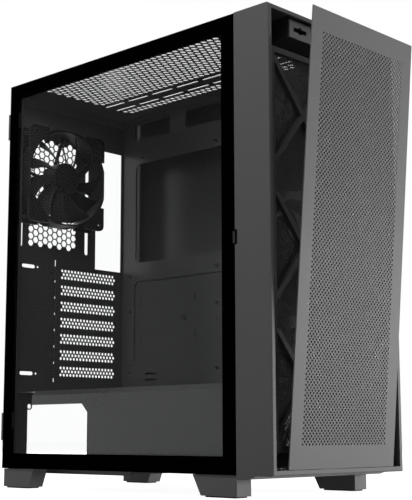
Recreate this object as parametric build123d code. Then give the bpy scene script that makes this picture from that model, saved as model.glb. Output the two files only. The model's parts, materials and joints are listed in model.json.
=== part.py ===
from build123d import *
import math
import os

os.makedirs("parts", exist_ok=True)

# All sizes are millimetres: X runs across, Y back from the front face of the bezel, Z up from the floor
WIDTH = 215.2
BODY_HEIGHT = 465.9
FOOT_HEIGHT = 21.7
BEZEL_DEPTH = 46.0
REAR = 412.6
SIDE_REAR = 418.4
REAR_REACH = 422.8
SHEET = 0.8
CHASSIS_HALF = 101.8
GAP = 0.3
OVER = 1.0

HALF = WIDTH / 2
BASE = FOOT_HEIGHT
TOP = BASE + BODY_HEIGHT
FLOOR_UNDER = BASE + GAP
FLOOR_TOP = FLOOR_UNDER + SHEET
ROOF_UNDER = 477.4
ROOF_TOP = ROOF_UNDER + SHEET
FLANGE_TOP = 486.4
WALL_BACK = BEZEL_DEPTH + SHEET
PANEL_BACK = REAR + SHEET

# Front bezel with its front opening, its chin and the notch for the pull tab
BEZEL_WALL = 2.5
BEZEL_EDGE = 1.6
BEZEL_INSIDE = HALF - BEZEL_WALL
BEZEL_UNDER = TOP - BEZEL_WALL
LIP_DEPTH = 3.0
OPENING_HALF = 102.2
OPENING_BOTTOM = BASE + 5.3
OPENING_TOP = TOP - 4.8
CHIN_DROP = 3.2
CHIN_SLOPE = (20.0, 30.0)
CHIN_HOLLOW = 34.0
NOTCH_FRONT = 42.8
NOTCH_HEIGHT = 15.2

# Front mesh panel, drawn closed and then turned open about its pivot
PANEL_WIDTH = 172.5
PANEL_HEIGHT = 453.5
PANEL_FRONT = -2.35
PANEL_BOTTOM = 28.3
PANEL_SHEET = 1.2
PANEL_EDGE = 0.4
PANEL_INSIDE = PANEL_FRONT + PANEL_SHEET
PANEL_TILT = 4.93

# Pivot lugs of the front panel and the brackets that hold their pins
PIVOT_Y = 7.0
PIVOT_Z = 32.0
PIVOT_RADIUS = 1.5
PIVOT_CLEARANCE = 0.05
PIVOT_LENGTH = 8.0
LUG_X = 62.0
LUG_INSET = 1.0
LUG_WIDTH = 4.0
LUG_ROUND = 2.7
LUG_RISE = 3.4
BRACKET_X = LUG_X + LUG_WIDTH + 0.6
BRACKET_WIDTH = 7.0
BRACKET_Y = (4.2, 10.4)
BRACKET_RISE = 4.0

# Snap studs of the front panel and the catch plates that take them
STUD_X = 50.3
STUD_Z = 471.7
STUD_BASE = 5.0
STUD_BASE_DEPTH = 2.0
STUD_STEM = 1.9
STUD_BALL = 2.7
STUD_REACH = 10.4
CATCH_WIDTH = 34.0
CATCH_HEIGHT = 18.6
CATCH_FRONT = 5.0
CATCH_BACK = 6.5
CATCH_SLOT_LENGTH = 21.0
CATCH_SLOT_WIDTH = 4.6
CATCH_HOLE = 3.9

# Guard frame with crossed ribs, and the dust cloth on its back
GUARD_HALF = 97.0
GUARD_BOTTOM = 49.7
GUARD_TOP = 446.7
GUARD_FRONT = 6.0
GUARD_BACK = 11.0
GUARD_STILE = 6.0
CROSS_PITCH = 136.5
CROSS_TOP_Z = 382.7
CROSS_HALF_HEIGHT = 53.0
RIB_WIDTH = 5.6
EAR_Z = (80.0, 248.0, 415.0)
EAR_HEIGHT = 12.0
EAR_Y = (7.0, 11.0)

# Case fans of the 120 mm size: frame, rotor and screws
FAN_SIZE = 120.0
FAN_DEPTH = 25.0
FAN_CORNER = 7.0
FAN_TAB = 30.0
FAN_ROUND = 62.5
FAN_BORE = 58.5
FAN_HOLE_SPACING = 105.0
FAN_FLANGE = 4.0
FAN_STRUTS = 4
STRUT_WIDTH = 3.2
STRUT_DEPTH = 3.4
STRUT_TURN = 72.5
STRUT_OFFSET = 8.2
MOTOR_RADIUS = 20.5
MOTOR_DEPTH = 4.0
FAN_HUB = 20.0
HUB_BACK = 5.5
HUB_NOSE = 23.5
HUB_EDGE = 2.0
FAN_TIP = 55.5
FAN_BLADES = 11
BLADE_THICKNESS = 1.6
BLADE_ROOT = FAN_HUB - 1.5
BLADE_MIDDLE = 16.8
BLADE_TURN = 15.9
BLADE_SWEEP = 20.8
BLADE_PITCH = (53.0, 39.7)
BLADE_CHORD = (10.4, 23.7)
BLADE_SECTIONS = 4
SHAFT_RADIUS = 1.5
SHAFT_BACK = 0.7
SHAFT_CLEARANCE = 0.05
REAR_FAN_X = -39.1
REAR_FAN_Z = 377.7
SCREW_RADIUS = 2.0
SCREW_HOLE = 2.2
SCREW_HEAD = 3.6
SCREW_HEAD_DEPTH = 1.8
SCREW_LENGTH = 9.3

# Steel front wall: the gap that joins its fan openings, and its side flanges
FRONT_OPENING = 58.0
FRONT_GAP_HALF = 46.0
FRONT_GAP_Z = (44.0, 468.0)
FRONT_GAP_CORNER = 6.0
FRONT_FLANGE_BACK = 60.0

# Vents: hexagon holes, radiator slots in the top, and slots in the floor
HEX_PITCH = 8.7
TOP_HEX = 6.5
REAR_HEX = 7.3
TOP_VENT_Y = (94.0, 373.0)
TOP_VENT_X = (-83.0, 1.0)
TOP_STRIP_X = (43.0, 52.0)
RADIATOR_X = (-91.6, 12.9, 31.9)
RADIATOR_Y = 359.0
RADIATOR_PITCH = 43.0
RADIATOR_COUNT = 7
RADIATOR_LENGTH = 36.0
RADIATOR_WIDTH = 4.4
TOP_FLANGE_LOW = 468.2
TOP_FLANGE_HALF = 100.8
FLOOR_SLOT_LENGTH = 28.0
FLOOR_SLOT_WIDTH = 4.2
FLOOR_SLOT_PITCH = 8
FLOOR_SLOT_REACH = 56
FLOOR_SLOT_Y = (275.0, 311.0, 347.0, 383.0)

# Rear panel: fan vent, connector opening, card slots, cover latch and power supply opening
REAR_VENT_X = (-76.0, -2.0)
REAR_VENT_Z = (295.0, 426.0)
FAN_SLOT_Z = 363.0
FAN_SLOT_LENGTH = 148.0
FAN_SLOT_WIDTH = 5.4
IO_WIDTH = 44.45
IO_HEIGHT = 158.75
IO_X = 51.05
IO_Z = 351.7
SLOT_PITCH = 20.32
SLOT_TOP_Z = 260.7
SLOT_COUNT = 7
SLOT_X0 = -29.6
SLOT_X1 = 67.4
SLOT_HEIGHT = 13.4
SLOT_CORNER = 1.5
GROOVE_X = (-37.4, -35.8)
GROOVE_Z = (125.3, 277.5)
LATCH_X = -78.8
LATCH_Z = (265.7, 134.7)
LATCH_LENGTH = 20.0
LATCH_WIDTH = 4.4
LATCH_HOLE_X = -64.5
LATCH_HOLE = 1.4
SUPPLY_X0 = -75.6
SUPPLY_X1 = 64.4
SUPPLY_Z0 = 29.0
SUPPLY_Z1 = 106.5
SUPPLY_CORNER = 2.0
SUPPLY_SCREWS = ((-73.0, 95.0), (-73.0, 31.0), (41.0, 105.0), (65.0, 31.0))
SUPPLY_TAB = 4.3
SUPPLY_HOLE = 2.8
REAR_FLANGE_FRONT = 399.6
REAR_FLANGE_TOP = 468.0

# Covers of the expansion slots and their screws
COVER_X0 = SLOT_X0 - 19.0
COVER_X1 = SLOT_X1 + 3.0
COVER_HEIGHT = 17.8
COVER_CORNER = 1.0
COVER_HOLE = 1.8
COVER_HOLE_X = SLOT_X0 + 5.0
COVER_HOLE_PITCH = 5.3
COVER_HOLE_COUNT = 17
COVER_ROW = 4.4
COVER_SCREW_X = SLOT_X0 - 13.4
COVER_SCREW_HOLE = 1.6
COVER_SCREW_RADIUS = 1.5
COVER_SCREW_HEAD = 3.2
COVER_SCREW_FRONT = 409.8

# Motherboard tray: processor opening, cable holes, pressed pad and tie slots, along Y and Z
TRAY_X = 76.4
TRAY_FRONT = 90.0
TRAY_FLANGE = 9.0
PROCESSOR_Y = (205.0, 387.3)
PROCESSOR_Z = (282.7, 414.7)
PROCESSOR_CORNER = 9.0
TOP_HOLE_Y = ((323.0, 391.0), (225.0, 295.0))
TOP_HOLE_Z = (447.7, 471.0)
TOP_HOLE_CORNER = 5.0
SIDE_HOLE_Y = (128.0, 152.0)
SIDE_HOLE_Z = (135.0, 235.0, 335.0)
SIDE_HOLE_HEIGHT = 78.0
SIDE_HOLE_CORNER = 6.0
PRESSED_Y = (226.0, 390.0)
PRESSED_Z = (149.0, 258.5)
PRESSED_DEPTH = 1.6
PRESSED_CORNER = 9.0
ISLAND_Y = (231.6, 252.4)
ISLAND_Z = (193.5, 226.0)
ISLAND_CORNER = 4.0
ISLAND_HOLE_Z = 200.2
BOSS_Y = 300.0
BOSS_Z = 206.4
BOSS_RADIUS = 4.0
BOSS_HOLE = 1.6
PAD_SLOT_Y = (280.0, 378.0)
PAD_SLOT_Z = (184.4, 230.1)
PAD_SLOT_LENGTH = 10.4
PAD_SLOT_WIDTH = 2.2
TIE_SLOT_Y = (347.5, 367.7)
TIE_SLOT_Z = (130.2, 137.8)
TIE_SLOT_HEIGHT = 2.2

# Threaded bushes for standard full-size and short boards, from the lower rear hole
STANDOFF_REAR = 397.0
STANDOFF_LOW = 140.7
STANDOFF_COLUMNS = (0, 154.94, 227.33)
STANDOFF_ROWS = (0, 78.74, 124.46, 281.94)
STANDOFF_OFFSET = 22.86
STANDOFF_LENGTH = 2.0
STANDOFF_RADIUS = 2.4
STANDOFF_THREAD = 1.25

# Power supply shroud with a window in its side and cable slots in its top
SHROUD_TOP = 111.7
SHROUD_X = -101.6
SHROUD_FRONT = 60.3
SHROUD_SLANT = 5.5
SHROUD_TOP_FRONT = 76.0
SHROUD_STRIP = 6.0
SHROUD_SIDE_REAR = 371.5
WINDOW_FRONT = 273.0
WINDOW_TOP = 95.4
WINDOW_CHAMFER = 9.4
SHROUD_SLOT_X = (40.0, 66.0)
SHROUD_SLOT_Y = (130.0, 215.0)
SHROUD_SLOT_LENGTH = 60.0

# Drive cage and the trays on its ledges
CAGE_X = (-88.0, 62.0)
CAGE_Y = (84.0, 202.0)
CAGE_TOP = 106.0
LEDGE_WIDTH = 6.0
LEDGE_THICKNESS = 1.2
DRIVE_TRAY_X = (-84.0, 56.0)
DRIVE_TRAY_Y = (86.0, 200.0)
DRIVE_TRAY_Z = (25.2, 65.2)
DRIVE_TRAY_BASE = 2.0
DRIVE_TRAY_RAIL = 2.5
DRIVE_TRAY_RAIL_HEIGHT = 20.0
HANDLE_THICKNESS = 3.0
HANDLE_HEIGHT = 24.0
HANDLE_HOLE_Y = (125.0, 161.0)
HANDLE_HOLE_RISE = (6.0, 14.0)

# Feet and their pads
PAD = 1.5
PAD_INSET = 2.0
FOOT_X = (-105.6, -84.8)
FRONT_FOOT_Y = (47.2, 95.5, 106.9)
REAR_FOOT_Y = (361.5, 370.0, 416.0)
FRONT_PAD_Y = (51.0, 91.0)
REAR_PAD_Y = (374.0, 412.0)

# Glass door, its rear hinges and its pull tab
GLASS = 4.0
GLASS_EDGE = 0.5
DOOR_BOTTOM = 22.4
DOOR_TOP = 487.2
DOOR_FRONT = 46.4
HINGE_X = -105.2
HINGE_Y = 420.9
HINGE_Z = (71.0, 436.4)
HINGE_HEIGHT = 32.0
BASE_HEIGHT = 13.0
KNUCKLE_GAP = 0.4
LEAF_FRONT = 399.0
LEAF_THICKNESS = 1.2
BASE_X = (-101.6, -96.0)
BASE_BACK = HINGE_Y + 0.6
BASE_ARM = 1.9
BARREL = 1.9
PIN_RADIUS = 0.9
PIN_CLEARANCE = 0.06
TAB_Z = 254.7
TAB_HEIGHT = 14.0
TAB_FRONT = 43.3
TAB_X = (-HALF + 0.4, -HALF + 3.2)

# Right side panel and its thumb screws
SIDE_X = HALF - 2.0
SIDE_FOLD = 3.2
THUMB_SCREW_X = 96.4
THUMB_SCREW_Z = (62.0, 446.0)
THUMB_HEAD = 5.4
THUMB_RADIUS = 1.9
THUMB_HOLE = 2.4
THUMB_LENGTH = 8.0
THUMB_EAR_WIDTH = 6.0
THUMB_EAR_HEIGHT = 16.0

# Dust filters of the top and of the power supply
TOP_FILTER_LOW = ROOF_TOP + GAP
TOP_FILTER_HALF = 92.0
TOP_FILTER_Y = (62.0, 398.0)
TOP_FILTER_RIM = 8.0
TOP_FILTER_THICKNESS = 3.0
CLOTH_RISE = 1.0
CLOTH = 0.6
SUPPLY_FILTER_HALF = 71.6
SUPPLY_FILTER_Y = (236.0, 404.0)
SUPPLY_FILTER_Z = (17.8, 20.8)
SUPPLY_FILTER_RIM = 6.0
SUPPLY_CLOTH_Z = 19.0
PULL_HALF = 24.0
PULL_LENGTH = 7.0
RAIL_X = (72.0, 74.0)
RAIL_Y = (232.0, 404.0)
RAIL_LOW = 16.5
RAIL_LEDGE = 3.5
RAIL_LEDGE_THICKNESS = 1.0

# Buttons and connectors on top of the bezel, the board under them and its housing
PORT_Y = 26.5
PORT_GAP = 0.2
PORT_TOP = TOP - 0.4
POWER_X = 45.0
POWER_RADIUS = 6.0
RESET_X = 29.0
RESET_RADIUS = 2.5
BUTTON_TOP = TOP - 0.2
BUTTON_RIM = 1.2
BUTTON_STEM = 1.6
BUTTON_DISH = 0.5
BUTTON_DISH_RATIO = 3.4
STEM_CLEARANCE = 4.4
AUDIO_X = 13.0
AUDIO_BODY = (8.0, 10.0)
AUDIO_NECK = 3.2
AUDIO_SOCKET = 1.8
AUDIO_SOCKET_DEPTH = 11.6
SMALL_PORT_X = -5.0
SMALL_PORT = (9.4, 3.6)
SMALL_PORT_WALL = 0.4
SMALL_PORT_FLOOR = 6.0
TONGUE = (6.4, 0.7)
TONGUE_DROP = 1.0
LARGE_PORT_X = (-25.0, -47.0)
LARGE_PORT = (13.6, 6.2)
LARGE_PORT_WALL = 0.5
LARGE_PORT_FLOOR = 2.0
IO_BOARD_Z = 470.0
IO_BOARD = 1.6
IO_BOARD_TOP = IO_BOARD_Z + IO_BOARD
IO_BOARD_HALF = 62.0
IO_BOARD_Y = (16.0, 38.0)
SWITCH_SIZE = 6.0
SWITCH_HEIGHT = 0.8
HOUSING_BACK = 40.0
HOUSING_WALL = 1.6
HOUSING_LOW = STUD_Z - CATCH_HEIGHT / 2
HOUSING_HALF = STUD_X + CATCH_WIDTH / 2
HOUSING_SLOT_MARGIN = 0.6
POST_X = 58.0
POST_Y = 34.0
POST_RADIUS = 3.0

TURNED = {"X": Rot(0, 90, 0), "Y": Rot(-90, 0, 0), "Z": Rot(0, 0, 0)}


def block(x0, x1, y0, y1, z0, z1):
    """A box between two corners."""
    middle = Pos((x0 + x1) / 2, (y0 + y1) / 2, (z0 + z1) / 2)
    return middle * Box(x1 - x0, y1 - y0, z1 - z0)


def rod(axis, radius, start, length):
    """A cylinder that starts at a point and runs along one axis."""
    straight = Pos(0, 0, length / 2) * Cylinder(radius, length)
    return Pos(*start) * TURNED[axis] * straight


def facing_front(back):
    """A plane across the case, with X and Z as its directions and its sheet in front of it."""
    return Plane(origin=(0, back, 0), x_dir=(1, 0, 0), z_dir=(0, -1, 0))


def lengthwise(x):
    """A plane along the case, with Y and Z as its directions and its sheet to its right."""
    return Plane(origin=(x, 0, 0), x_dir=(0, 1, 0), z_dir=(1, 0, 0))


def level(z):
    """A level plane, with X and Y as its directions and its sheet on top of it."""
    return Plane(origin=(0, 0, z))


def area(u_range, v_range, corner=0):
    """A rectangle over two ranges, with rounded corners if asked."""
    width = u_range[1] - u_range[0]
    height = v_range[1] - v_range[0]
    shape = RectangleRounded(width, height, corner) if corner else Rectangle(width, height)
    return Pos(sum(u_range) / 2, sum(v_range) / 2) * shape


def around(middle, size):
    """A range of a given size about its middle."""
    return (middle - size / 2, middle + size / 2)


def spot(u, v, radius):
    """A round hole."""
    return Pos(u, v) * Circle(radius)


def slot(u, v, length, width, turn=0):
    """A slot with round ends."""
    return Pos(u, v) * SlotOverall(length, width, rotation=turn)


def raised(shape, amount):
    """A flat shape raised straight up."""
    return extrude(shape, amount=amount, dir=(0, 0, 1))


def sheet(place, outline, holes=(), thickness=SHEET):
    """A flat sheet with holes, drawn on a plane and raised along its normal."""
    rims = [hole.face().outer_wire() for hole in holes]
    face = Face(outline.face().outer_wire(), rims)
    return place.location * raised(face, thickness)


def hexagons(u_range, v_range, flats):
    """Hexagon holes in staggered columns that fill a rectangle."""
    column = HEX_PITCH * math.sqrt(3) / 2
    cell = RegularPolygon(flats / math.sqrt(3), 6)
    holes = []
    for i in range(int((u_range[1] - u_range[0]) / column) + 1):
        start = v_range[0] + (HEX_PITCH / 2 if i % 2 else 0)
        for j in range(int((v_range[1] - start) / HEX_PITCH) + 1):
            holes.append(Pos(u_range[0] + i * column, start + j * HEX_PITCH) * cell)
    return holes


def mirrored(piece):
    """The same piece on the other side of the middle of the case."""
    return mirror(piece, about=Plane.YZ)


def fan_corners(x, z):
    """The four screw places of a fan centred at x and z."""
    half = FAN_HOLE_SPACING / 2
    return [(x + a * half, z + b * half) for a in (-1, 1) for b in (-1, 1)]


def front_fan_heights():
    """Heights of the three front fans, which stand behind the guard's crosses."""
    return [CROSS_TOP_Z - i * CROSS_PITCH for i in range(3)]


def slot_heights():
    """Heights of the expansion slots, from the top one down."""
    return [SLOT_TOP_Z - i * SLOT_PITCH for i in range(SLOT_COUNT)]


def opened(piece):
    """A piece of the front panel turned about its bottom pivot to where the panel leans open."""
    to_pivot = Pos(0, PIVOT_Y, PIVOT_Z)
    return to_pivot * Rot(PANEL_TILT, 0, 0) * to_pivot.inverse() * piece


def front_bezel():
    """Deep plastic surround: rounded front edges, a lip round the opening and port holes in its top."""
    chin = BASE - CHIN_DROP
    profile = make_face(Polyline((0, BASE), (CHIN_SLOPE[0], BASE), (CHIN_SLOPE[1], chin), (BEZEL_DEPTH, chin),
                                 (BEZEL_DEPTH, TOP), (0, TOP), close=True))
    body = sheet(lengthwise(-HALF), profile, thickness=WIDTH)
    body = fillet(body.edges().group_by(Axis.Y)[0], BEZEL_EDGE)
    back = BEZEL_DEPTH + OVER
    body -= block(-BEZEL_INSIDE, BEZEL_INSIDE, LIP_DEPTH, back, BASE + BEZEL_WALL, BEZEL_UNDER)
    body -= block(-OPENING_HALF, OPENING_HALF, -OVER, LIP_DEPTH, OPENING_BOTTOM, OPENING_TOP)
    body -= block(-OPENING_HALF, OPENING_HALF, CHIN_HOLLOW, back, chin - OVER, BASE)
    body -= block(-HALF - OVER, -BEZEL_INSIDE + OVER, NOTCH_FRONT, back, *around(TAB_Z, NOTCH_HEIGHT))
    return body - port_holes()


def port_holes():
    """The holes in the top of the bezel, as the shapes that cut them."""
    low = BEZEL_UNDER - OVER
    depth = TOP - low + OVER
    rounds = [(POWER_X, POWER_RADIUS + GAP), (RESET_X, RESET_RADIUS + GAP), (AUDIO_X, AUDIO_NECK + PORT_GAP)]
    cuts = [rod("Z", radius, (x, PORT_Y, low), depth) for x, radius in rounds]
    for x, (width, length) in [(SMALL_PORT_X, SMALL_PORT)] + [(x, LARGE_PORT) for x in LARGE_PORT_X]:
        across = around(x, width + 2 * PORT_GAP)
        cuts.append(block(*across, *around(PORT_Y, length + 2 * PORT_GAP), low, low + depth))
    return cuts


def front_wall():
    """Steel front of the chassis: three fan openings joined by a wide gap, and a flange down each side."""
    gap = area((-FRONT_GAP_HALF, FRONT_GAP_HALF), FRONT_GAP_Z, FRONT_GAP_CORNER)
    holes = []
    for height in front_fan_heights():
        gap += spot(0, height, FRONT_OPENING)
        holes += [spot(x, z, SCREW_HOLE) for x, z in fan_corners(0, height)]
    outline = area((-CHASSIS_HALF, CHASSIS_HALF), (FLOOR_UNDER, FLANGE_TOP))
    wall = sheet(facing_front(WALL_BACK), outline, [gap] + holes)
    flange = block(-CHASSIS_HALF, -CHASSIS_HALF + SHEET, WALL_BACK, FRONT_FLANGE_BACK, FLOOR_TOP, ROOF_UNDER)
    return wall + flange + mirrored(flange)


def floor_plate():
    """Steel floor with a slotted vent under the power supply."""
    columns = range(-FLOOR_SLOT_REACH, FLOOR_SLOT_REACH + 1, FLOOR_SLOT_PITCH)
    slots = [slot(x, y, FLOOR_SLOT_LENGTH, FLOOR_SLOT_WIDTH, 90) for x in columns for y in FLOOR_SLOT_Y]
    outline = area((-CHASSIS_HALF, CHASSIS_HALF), (WALL_BACK, REAR))
    return sheet(level(FLOOR_UNDER), outline, slots)


def top_plate():
    """Steel top with hexagon vents, rows of radiator slots, raised side edges and a rear flange."""
    holes = hexagons(TOP_VENT_X, TOP_VENT_Y, TOP_HEX) + hexagons(TOP_STRIP_X, TOP_VENT_Y, TOP_HEX)
    for x in RADIATOR_X:
        for i in range(RADIATOR_COUNT):
            holes.append(slot(x, RADIATOR_Y - RADIATOR_PITCH * i, RADIATOR_LENGTH, RADIATOR_WIDTH, 90))
    outline = area((-CHASSIS_HALF, CHASSIS_HALF), (WALL_BACK, REAR))
    plate = sheet(level(ROOF_UNDER), outline, holes)
    inner = CHASSIS_HALF - SHEET
    front = REAR - SHEET
    edge = block(-CHASSIS_HALF, -inner, WALL_BACK, REAR, ROOF_TOP, FLANGE_TOP)
    back_edge = block(-inner, inner, front, REAR, ROOF_TOP, FLANGE_TOP)
    flange = block(-TOP_FLANGE_HALF, TOP_FLANGE_HALF, front, REAR, TOP_FLANGE_LOW, ROOF_UNDER)
    return plate + edge + mirrored(edge) + back_edge + flange


def rear_panel():
    """Steel rear with fan vent, connector opening, card slots and power supply opening."""
    holes = hexagons(REAR_VENT_X, REAR_VENT_Z, REAR_HEX)
    for x in around(REAR_FAN_X, FAN_HOLE_SPACING):
        holes.append(slot(x, FAN_SLOT_Z, FAN_SLOT_LENGTH, FAN_SLOT_WIDTH, 90))
    holes.append(area(around(IO_X, IO_WIDTH), around(IO_Z, IO_HEIGHT)))
    for z in slot_heights():
        holes.append(area((SLOT_X0, SLOT_X1), around(z, SLOT_HEIGHT), SLOT_CORNER))
        holes.append(spot(COVER_SCREW_X, z, COVER_SCREW_HOLE))
    holes.append(area(GROOVE_X, GROOVE_Z))
    for z in LATCH_Z:
        holes.append(slot(LATCH_X, z, LATCH_LENGTH, LATCH_WIDTH))
        holes.append(spot(LATCH_HOLE_X, z, LATCH_HOLE))
    holes.append(supply_opening())
    holes += [spot(x, z, SUPPLY_HOLE) for x, z in SUPPLY_SCREWS]
    holes += [spot(THUMB_SCREW_X, z, THUMB_HOLE) for z in THUMB_SCREW_Z]
    outline = area((-CHASSIS_HALF, CHASSIS_HALF), (FLOOR_UNDER, ROOF_TOP))
    panel = sheet(facing_front(PANEL_BACK), outline, holes)
    inner = -CHASSIS_HALF + SHEET
    return panel + block(-CHASSIS_HALF, inner, REAR_FLANGE_FRONT, REAR, FLOOR_TOP, REAR_FLANGE_TOP)


def supply_opening():
    """Outline of the power supply opening, with a tab for each screw reaching in from its edge."""
    opening = area((SUPPLY_X0, SUPPLY_X1), (SUPPLY_Z0, SUPPLY_Z1), SUPPLY_CORNER)
    middle = (SUPPLY_Z0 + SUPPLY_Z1) / 2
    for x, z in SUPPLY_SCREWS:
        edge = SUPPLY_Z1 + OVER if z > middle else SUPPLY_Z0 - OVER
        opening -= spot(x, z, SUPPLY_TAB)
        opening -= area(around(x, 2 * SUPPLY_TAB), sorted((z, edge)))
    return opening


def slot_cover(z):
    """Perforated plate behind one expansion slot, screwed on at its end."""
    holes = [spot(COVER_SCREW_X, z, COVER_SCREW_HOLE)]
    for row in (-1, 0, 1):
        start = COVER_HOLE_X + (0 if row else COVER_HOLE_PITCH / 2)
        for i in range(COVER_HOLE_COUNT):
            holes.append(spot(start + COVER_HOLE_PITCH * i, z + COVER_ROW * row, COVER_HOLE))
    outline = area((COVER_X0, COVER_X1), around(z, COVER_HEIGHT), COVER_CORNER)
    return sheet(facing_front(PANEL_BACK + SHEET), outline, holes)


def slot_cover_screws():
    """One screw for the end of each slot cover."""
    seat = PANEL_BACK + SHEET
    screws = []
    for z in slot_heights():
        head = rod("Y", COVER_SCREW_HEAD, (COVER_SCREW_X, seat, z), SCREW_HEAD_DEPTH)
        shank = rod("Y", COVER_SCREW_RADIUS, (COVER_SCREW_X, COVER_SCREW_FRONT, z), seat - COVER_SCREW_FRONT)
        screws.append(head + shank)
    return screws


def motherboard_tray():
    """Steel tray with a processor opening, cable holes, tie slots and a field pressed in behind the cards."""
    holes = [area(PROCESSOR_Y, PROCESSOR_Z, PROCESSOR_CORNER)]
    holes += [area(along, TOP_HOLE_Z, TOP_HOLE_CORNER) for along in TOP_HOLE_Y]
    holes += [area(SIDE_HOLE_Y, (z, z + SIDE_HOLE_HEIGHT), SIDE_HOLE_CORNER) for z in SIDE_HOLE_Z]
    holes += [area(TIE_SLOT_Y, around(z, TIE_SLOT_HEIGHT)) for z in TIE_SLOT_Z]
    field = area(PRESSED_Y, PRESSED_Z, PRESSED_CORNER)
    outline = area((TRAY_FRONT, REAR - SHEET), (FLOOR_TOP, ROOF_UNDER))
    plate = sheet(lengthwise(TRAY_X), outline, holes + [field])
    flange = block(TRAY_X, TRAY_X + TRAY_FLANGE, TRAY_FRONT - SHEET, TRAY_FRONT, FLOOR_TOP, ROOF_UNDER)
    return plate + pressed_field(field) + flange


def pressed_field(field):
    """The pressed field of the tray: set back all over but for an island and a boss, with four slots."""
    slots = [slot(y, z, PAD_SLOT_LENGTH, PAD_SLOT_WIDTH, 90) for y in PAD_SLOT_Y for z in PAD_SLOT_Z]
    island_hole = spot(STANDOFF_REAR - STANDOFF_COLUMNS[1], ISLAND_HOLE_Z, STANDOFF_THREAD)
    boss_hole = spot(BOSS_Y, BOSS_Z, BOSS_HOLE)
    pressed = sheet(lengthwise(TRAY_X), field, slots + [island_hole, boss_hole], PRESSED_DEPTH + SHEET)
    hollow_y = (PRESSED_Y[0] + SHEET, PRESSED_Y[1] - SHEET)
    hollow_z = (PRESSED_Z[0] + SHEET, PRESSED_Z[1] - SHEET)
    hollow = area(hollow_y, hollow_z, PRESSED_CORNER - SHEET)
    hollow -= area(ISLAND_Y, ISLAND_Z, ISLAND_CORNER) + spot(BOSS_Y, BOSS_Z, BOSS_RADIUS)
    return pressed - lengthwise(TRAY_X).location * raised(hollow, PRESSED_DEPTH)


def board_standoffs():
    """Short threaded bushes for the board, standing on the tray; the top rear one is set forward."""
    section = Circle(STANDOFF_RADIUS) - Circle(STANDOFF_THREAD)
    lying = Plane(origin=(TRAY_X, 0, 0), x_dir=(0, 1, 0), z_dir=(-1, 0, 0))
    bush = lying.location * raised(section, STANDOFF_LENGTH)
    bushes = []
    for i, column in enumerate(STANDOFF_COLUMNS):
        for j, row in enumerate(STANDOFF_ROWS):
            forward = column + (STANDOFF_OFFSET if (i, j) == (0, 3) else 0)
            bushes.append(Pos(0, STANDOFF_REAR - forward, STANDOFF_LOW + row) * bush)
    return bushes


def top_left_edge(body):
    """The edge of a block along Y that lies furthest up and to the left."""
    return body.edges().filter_by(Axis.Y).sort_by(lambda edge: edge.center().Z - edge.center().X)[-1]


def psu_shroud():
    """Bent steel cover over the power supply and drives, with a window in its side, open to the rear."""
    right = TRAY_X + OVER
    low = FLOOR_TOP - OVER
    high = SHROUD_TOP + OVER
    front = SHROUD_FRONT - OVER
    strip = SHROUD_X + SHROUD_STRIP
    outer = block(SHROUD_X, TRAY_X, SHROUD_FRONT, REAR, FLOOR_TOP, SHROUD_TOP)
    inner = block(SHROUD_X + SHEET, right, front, REAR + OVER, low, SHROUD_TOP - SHEET)
    inner_slant = SHROUD_SLANT - SHEET * (2 - math.sqrt(2))
    shell = chamfer(top_left_edge(outer), SHROUD_SLANT) - chamfer(top_left_edge(inner), inner_slant)
    shell -= block(strip, right, front, SHROUD_TOP_FRONT, SHROUD_TOP - SHEET - OVER, high)
    shell -= block(SHROUD_X - OVER, strip, SHROUD_SIDE_REAR, REAR + OVER, low, high)
    corner = WINDOW_TOP - WINDOW_CHAMFER
    near = WINDOW_FRONT
    far = SHROUD_SIDE_REAR + OVER
    window = make_face(Polyline((near, low), (near, corner), (near + WINDOW_CHAMFER, WINDOW_TOP),
                                (far, WINDOW_TOP), (far, low), close=True))
    shell -= sheet(lengthwise(SHROUD_X - OVER), window, thickness=SHEET + 2 * OVER)
    for y in SHROUD_SLOT_Y:
        shell -= block(*SHROUD_SLOT_X, y, y + SHROUD_SLOT_LENGTH, SHROUD_TOP - SHEET - OVER, high)
    return shell


def drive_cage():
    """Folded steel cage on the floor under the shroud, with ledges for two trays."""
    near, far = CAGE_Y
    cage = block(*CAGE_X, near, near + SHEET, FLOOR_TOP, CAGE_TOP)
    cage += block(*CAGE_X, far - SHEET, far, FLOOR_TOP, CAGE_TOP)
    cage += block(*CAGE_X, near + SHEET, far - SHEET, CAGE_TOP - SHEET, CAGE_TOP)
    for z in DRIVE_TRAY_Z:
        cage += block(*CAGE_X, near + SHEET, near + LEDGE_WIDTH, z - LEDGE_THICKNESS, z)
        cage += block(*CAGE_X, far - LEDGE_WIDTH, far - SHEET, z - LEDGE_THICKNESS, z)
    return cage


def drive_trays():
    """Open plastic trays for two drives, each with side rails and a pull handle."""
    near, far = DRIVE_TRAY_Y
    end = DRIVE_TRAY_X[1]
    trays = []
    for z in DRIVE_TRAY_Z:
        rail_low = z + DRIVE_TRAY_BASE
        rail_top = z + DRIVE_TRAY_RAIL_HEIGHT
        tray = block(*DRIVE_TRAY_X, near, far, z, rail_low)
        tray += block(*DRIVE_TRAY_X, near, near + DRIVE_TRAY_RAIL, rail_low, rail_top)
        tray += block(*DRIVE_TRAY_X, far - DRIVE_TRAY_RAIL, far, rail_low, rail_top)
        handle = block(end, end + HANDLE_THICKNESS, near, far, z, z + HANDLE_HEIGHT)
        finger_low, finger_top = (z + rise for rise in HANDLE_HOLE_RISE)
        handle -= block(end - OVER, end + HANDLE_THICKNESS + OVER, *HANDLE_HOLE_Y, finger_low, finger_top)
        trays.append(tray + handle)
    return trays


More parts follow.
